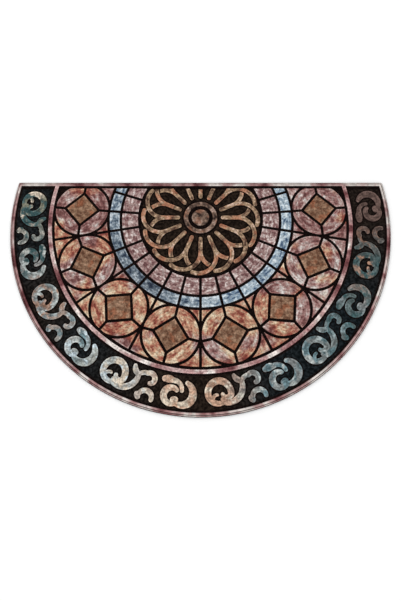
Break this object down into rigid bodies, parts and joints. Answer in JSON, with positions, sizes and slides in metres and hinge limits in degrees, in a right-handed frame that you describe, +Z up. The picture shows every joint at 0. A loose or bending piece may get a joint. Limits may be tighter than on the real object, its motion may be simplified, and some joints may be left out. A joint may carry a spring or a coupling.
{
  "type": "half-round entrance mat",
  "caption": "Half-round entrance mat: one flat pressed sheet with a raised mosaic medallion, scroll border and rim, for wiping shoes at a door.",
  "frame": {"origin": "on the floor, under the middle of the mat's bounding box", "axes": "+X along the straight edge, -Y towards the round edge, +Z up out of the printed face"},
  "size_m": [0.9144, 0.549, 0.007],
  "materials": {
    "flocked_rubber": "matt printed flock on the raised face, bare near-black rubber crumb in the lines and underneath"
  },
  "bodies": {
    "root": {"mat": "flocked_rubber"}
  },
  "joints": []
}
